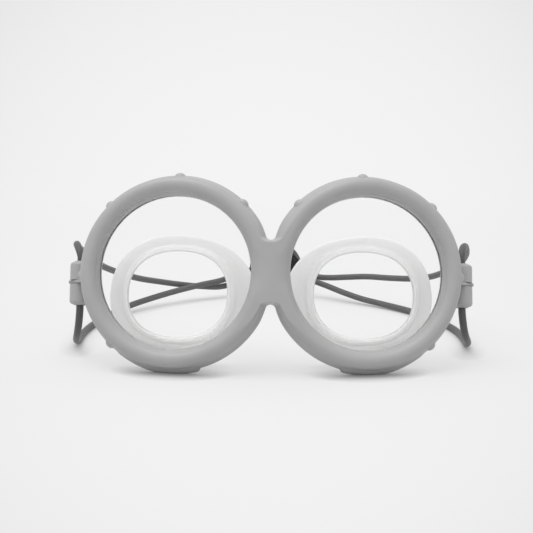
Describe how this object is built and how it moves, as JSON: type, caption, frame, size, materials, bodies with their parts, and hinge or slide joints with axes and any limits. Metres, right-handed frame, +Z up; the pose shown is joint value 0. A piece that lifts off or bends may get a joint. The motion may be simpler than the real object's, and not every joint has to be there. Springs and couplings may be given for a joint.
{
  "type": "swimming goggles",
  "caption": "Round-eyed goggles with clear lenses, flared soft gaskets and a rigid bridge, on a loop of thin elastic cord through swivelling temple guides and a sprung cord lock.",
  "frame": {"origin": "middle of the frame's box, on the surface that the rest pads stand on", "axes": "+X towards the wearer's left temple, which is on the right of the picture, +Y to the back, towards the wearer, +Z up"},
  "size_m": [0.1546, 0.1515, 0.0697],
  "materials": {
    "frame": "satin grey, fine grain",
    "studs": "satin grey, smooth",
    "lens": "clear, polished",
    "seal": "translucent, matte",
    "gasket": "milky translucent, satin",
    "cord": "tightly braided sleeve over elastic",
    "lock": "satin black",
    "spring": "bright drawn wire"
  },
  "bodies": {
    "frame": {"front_frame": "frame", "rear_ring_left": "frame", "rear_ring_right": "frame", "rim_studs_left": "studs", "rim_studs_right": "studs", "lens_left": "lens", "lens_right": "lens", "lens_seal_left": "seal", "lens_seal_right": "seal", "gasket_left": "gasket", "gasket_right": "gasket", "guide_sleeve_left": "studs", "guide_sleeve_right": "studs", "cord_core_left": "cord", "cord_core_right": "cord", "cord_upper_left": "cord", "cord_upper_right": "cord", "cord_lower_left": "cord", "cord_lower_right": "cord", "cord_through_lock": "cord", "lock_body": "lock", "lock_spring": "spring"},
    "strap_guide_left": {"strap_guide_left": "frame"},
    "strap_guide_right": {"strap_guide_right": "frame"},
    "lock_button": {"lock_button": "lock"}
  },
  "joints": [
    {"name": "guide_swivel_left", "type": "hinge", "parent": "frame", "child": "strap_guide_left", "pos_m": [-0.06988, 0.00916, 0.02831], "axis": [0, 0.2807, 0.9598], "range_deg": [-25, 25]},
    {"name": "guide_swivel_right", "type": "hinge", "parent": "frame", "child": "strap_guide_right", "pos_m": [0.06988, 0.00916, 0.02831], "axis": [0, 0.2807, 0.9598], "range_deg": [-25, 25]},
    {"name": "lock_press", "type": "slide", "parent": "frame", "child": "lock_button", "axis": [0, 1, 0], "range_m": [-0.0035, 0], "stiffness_N_per_m": 600, "springref_m": 0.004, "deforming": ["lock_spring"]}
  ]
}
